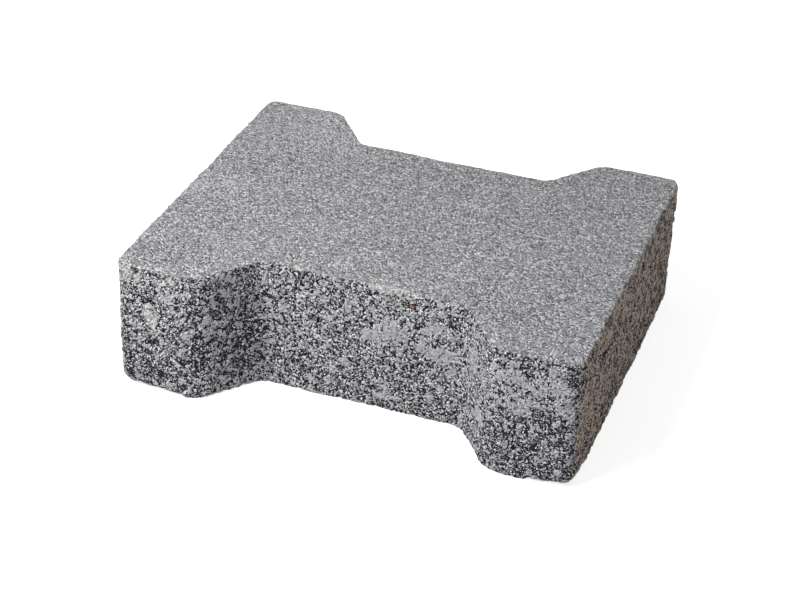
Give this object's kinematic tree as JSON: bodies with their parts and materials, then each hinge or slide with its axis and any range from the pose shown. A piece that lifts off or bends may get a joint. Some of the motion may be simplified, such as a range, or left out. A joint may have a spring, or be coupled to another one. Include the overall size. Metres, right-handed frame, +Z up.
{
  "type": "concrete paving stone",
  "caption": "Grey concrete paving stone with a double-T plan whose flared notches interlock with the flange tips of its neighbours.",
  "frame": {"origin": "centre of the bed face", "axes": "+Z up from the bed to the wearing face, +X from one straight end to the other, +Y along a straight end towards the back notch"},
  "size_m": [0.2, 0.165, 0.06],
  "materials": {
    "concrete": "rough cast concrete, fine on the wearing face and open-grained on the sides"
  },
  "bodies": {
    "root": {"paving_stone": "concrete"}
  },
  "joints": []
}
